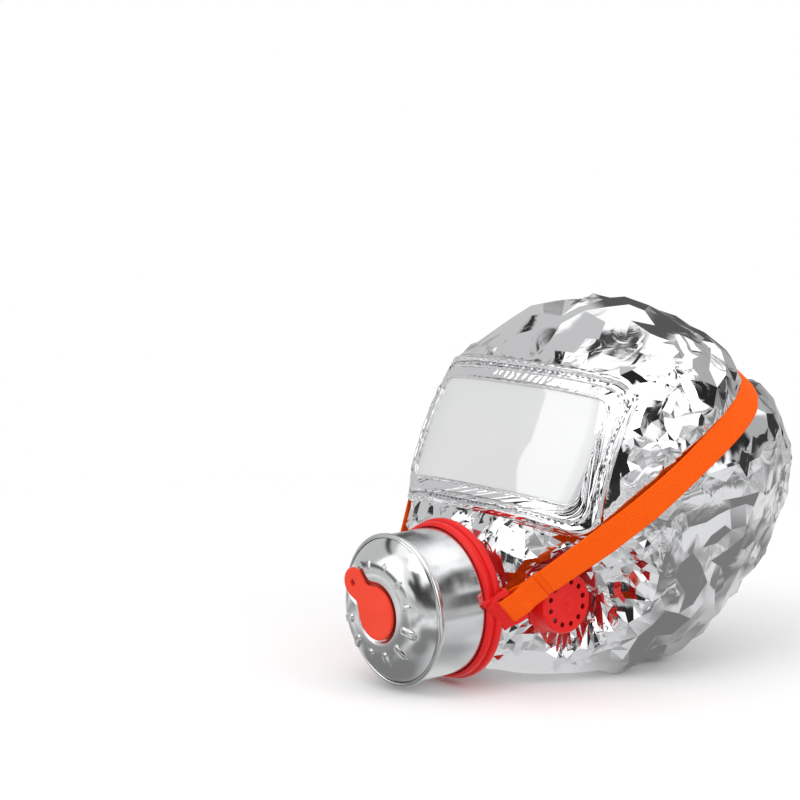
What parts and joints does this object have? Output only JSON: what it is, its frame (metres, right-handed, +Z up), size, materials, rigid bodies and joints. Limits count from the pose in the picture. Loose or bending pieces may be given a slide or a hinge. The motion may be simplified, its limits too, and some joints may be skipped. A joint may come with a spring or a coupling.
{
  "type": "smoke hood",
  "caption": "Filtering escape hood: aluminised hood with a visor, half mask, steel filter canister with pull-out plugs, exhalation valves and a head strap.",
  "frame": {"origin": "centre of the bounding box in X and Y, at the surface that the neck hem stands on", "axes": "+Z up, the wearer faces -Y (the canister points to -Y), +X is the wearer's left"},
  "size_m": [0.2328, 0.3332, 0.2435],
  "materials": {
    "can_steel": "polished, deep drawn steel",
    "hood_foil": "mirror-bright aluminised film on cloth, crumpled",
    "red_plastic": "moulded, satin",
    "plug_rubber": "matt moulded rubber",
    "mask_silicone": "matt",
    "valve_rubber": "matt",
    "lens_film": "clear, glossy",
    "strap_webbing": "ribbed webbing",
    "cuff_knit": "knitted",
    "white_plastic": "moulded",
    "filter_felt": "felt",
    "carbon_grain": "granules",
    "catalyst_grain": "granules",
    "desiccant_grain": "granules"
  },
  "bodies": {
    "hood": {"can_shell": "can_steel", "can_front_cap": "can_steel", "can_rear_cap": "can_steel", "inlet_screen": "can_steel", "pleated_filter": "filter_felt", "filter_gasket": "valve_rubber", "desiccant_bed": "desiccant_grain", "bed_screen_front": "can_steel", "catalyst_bed": "catalyst_grain", "carbon_bed": "carbon_grain", "bed_screen_rear": "can_steel", "dust_felt": "filter_felt", "outlet_gasket": "mask_silicone", "seat_ring": "red_plastic", "hood_clamp_ring": "red_plastic", "half_mask": "mask_silicone", "exhale_seat_left": "white_plastic", "exhale_clamp_left": "red_plastic", "exhale_cover_left": "red_plastic", "exhale_seat_right": "white_plastic", "exhale_clamp_right": "red_plastic", "exhale_cover_right": "red_plastic", "inhale_seat": "white_plastic", "window_frame": "hood_foil", "window_lens": "lens_film", "chin_panel": "hood_foil", "left_panel": "hood_foil", "right_panel": "hood_foil", "left_crown": "hood_foil", "right_crown": "hood_foil", "crown_seam": "hood_foil", "neck_cuff": "cuff_knit", "neck_elastic": "valve_rubber", "strap_end_left": "strap_webbing", "strap_end_right": "strap_webbing"},
    "front_plug": {"front_plug": "plug_rubber"},
    "rear_plug": {"rear_plug": "plug_rubber"},
    "inhale_flap": {"inhale_flap": "valve_rubber"},
    "exhale_flap_left": {"exhale_flap_left": "valve_rubber"},
    "exhale_flap_right": {"exhale_flap_right": "valve_rubber"},
    "head_strap": {"strap_web": "strap_webbing"}
  },
  "joints": [
    {"name": "front_plug_pull", "type": "slide", "parent": "hood", "child": "front_plug", "axis": [0, -0.9992, -0.0401], "range_m": [0, 0.04]},
    {"name": "rear_plug_pull", "type": "slide", "parent": "hood", "child": "rear_plug", "axis": [0, 0.9992, 0.0401], "range_m": [0, 0.03]},
    {"name": "inhale_flap_lift", "type": "slide", "parent": "hood", "child": "inhale_flap", "axis": [0, 0.9992, 0.0401], "range_m": [0, 0.003], "stiffness_N_per_m": 20},
    {"name": "exhale_flap_left_lift", "type": "slide", "parent": "hood", "child": "exhale_flap_left", "axis": [1, 0, 0], "range_m": [0, 0.003], "stiffness_N_per_m": 20},
    {"name": "exhale_flap_right_lift", "type": "slide", "parent": "hood", "child": "exhale_flap_right", "axis": [-1, 0, 0], "range_m": [0, 0.003], "stiffness_N_per_m": 20},
    {"name": "strap_swing", "type": "hinge", "parent": "hood", "child": "head_strap", "pos_m": [0, -0.0819, 0.07437], "axis": [1, 0, 0], "range_deg": [0, 50]}
  ]
}
